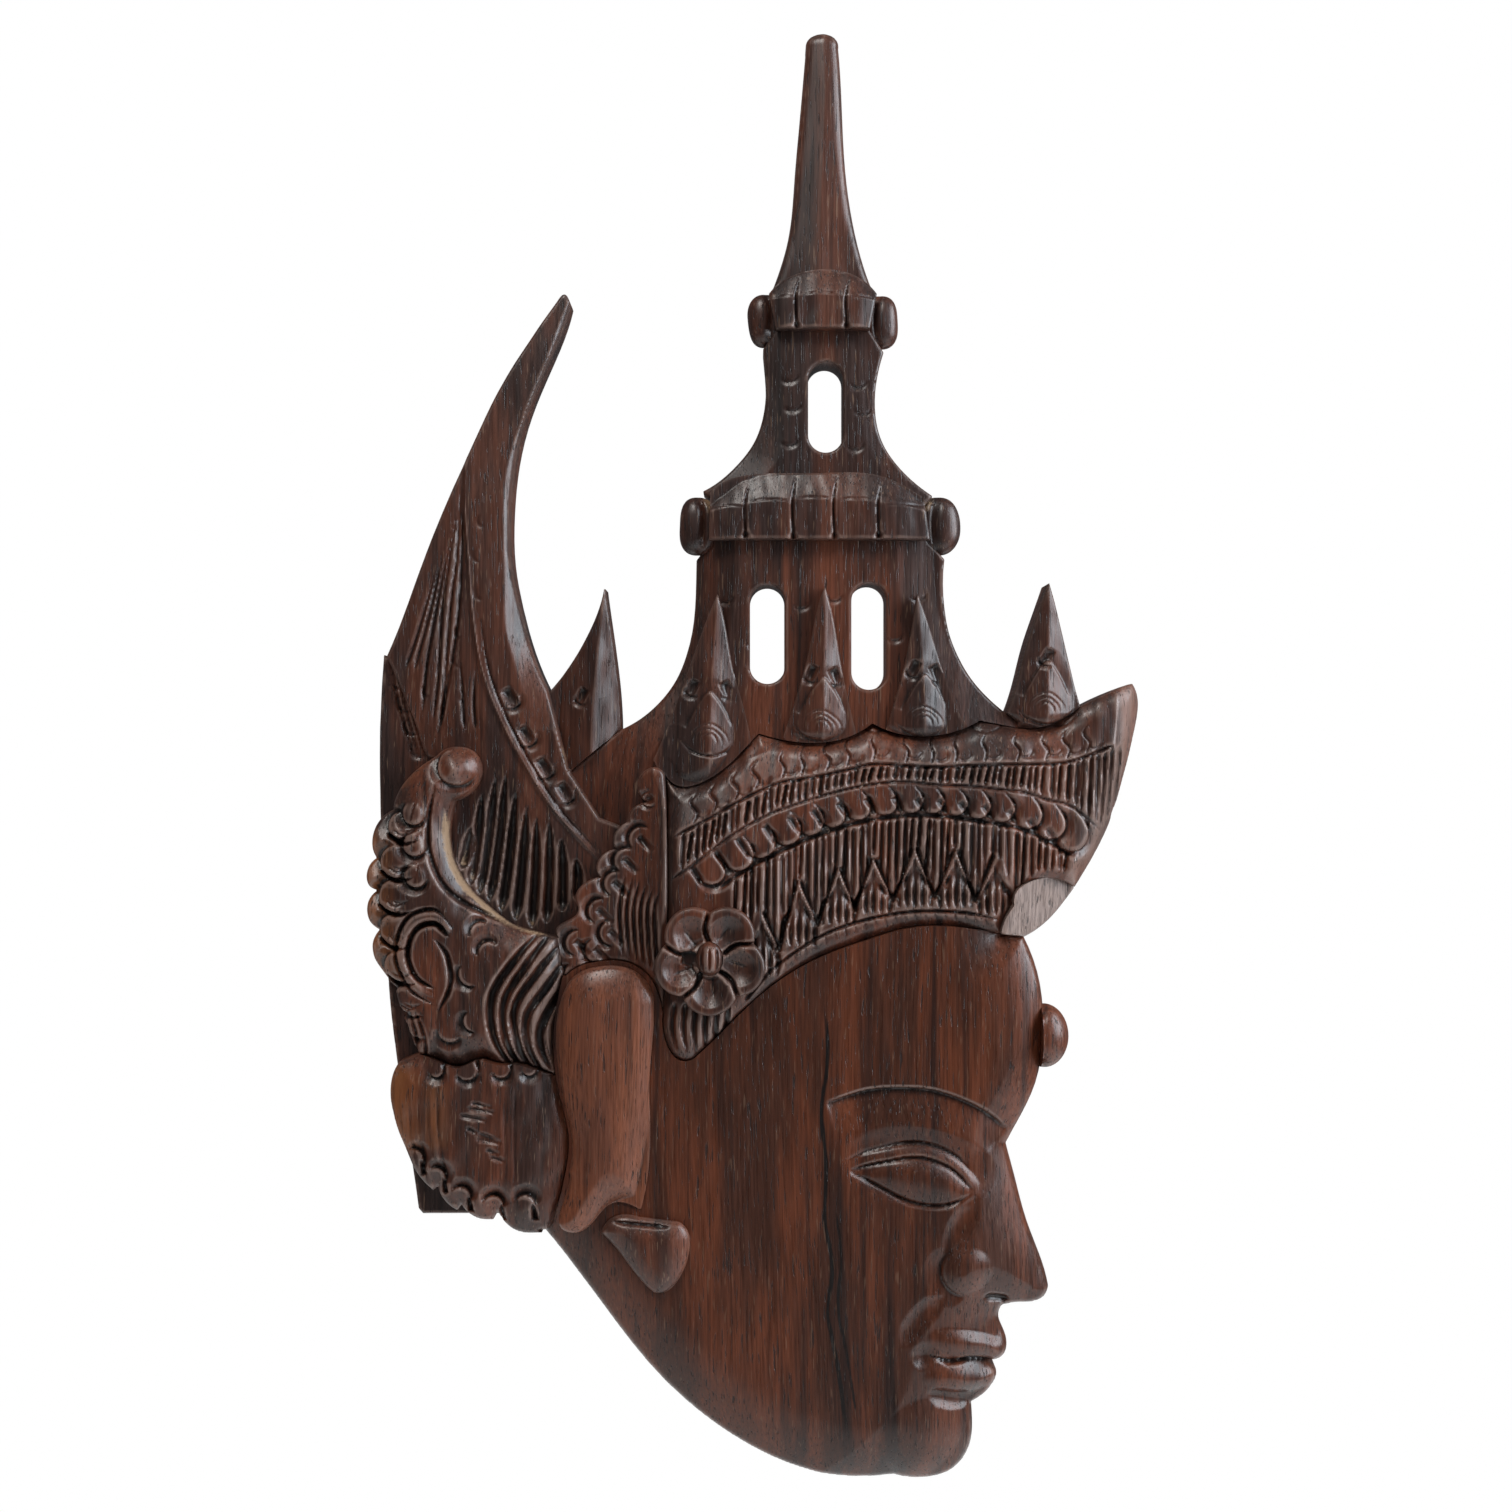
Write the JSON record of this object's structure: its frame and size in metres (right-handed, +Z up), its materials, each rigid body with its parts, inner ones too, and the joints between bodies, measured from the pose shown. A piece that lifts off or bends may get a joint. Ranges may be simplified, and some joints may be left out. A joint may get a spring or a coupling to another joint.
{
  "type": "carved wooden wall plaque",
  "caption": "Flat-backed relief carving of a crowned head in profile, with a tall pierced headdress and a swept wing; hangs from a keyhole plate.",
  "frame": {"origin": "centre of the keyhole hanger's entry hole, in the plane of the flat back", "axes": "+Z up, +X to the right seen from the front, carved front faces -Y, wall on the +Y side"},
  "size_m": [0.266, 0.0285, 0.5007],
  "materials": {
    "rosewood": "dark rosewood, carved and waxed to a semi-gloss, near-black streaks",
    "rosewood_smooth": "the same rosewood, sanded smooth and waxed, a little lighter",
    "plate_steel": "zinc-plated pressed steel",
    "screw_steel": "yellow zinc-plated steel"
  },
  "bodies": {
    "root": {"crown_band": "rosewood", "crown_corner": "rosewood", "temple_leaf": "rosewood", "tower": "rosewood", "upper_tier": "rosewood", "finial": "rosewood", "lower_collar": "rosewood", "upper_collar": "rosewood", "left_lower_bead": "rosewood", "right_lower_bead": "rosewood", "left_upper_bead": "rosewood", "right_upper_bead": "rosewood", "left_point": "rosewood", "middle_point": "rosewood", "right_point": "rosewood", "side_point": "rosewood", "wing": "rosewood", "back_leaf": "rosewood", "back_board": "rosewood", "ornament": "rosewood", "lobe": "rosewood", "head": "rosewood_smooth", "ear": "rosewood_smooth", "ear_drop": "rosewood", "brow_jewel": "rosewood", "flower_petals": "rosewood", "flower_eye": "rosewood", "hanger_plate": "plate_steel", "hanger_screws": "screw_steel"}
  },
  "joints": []
}
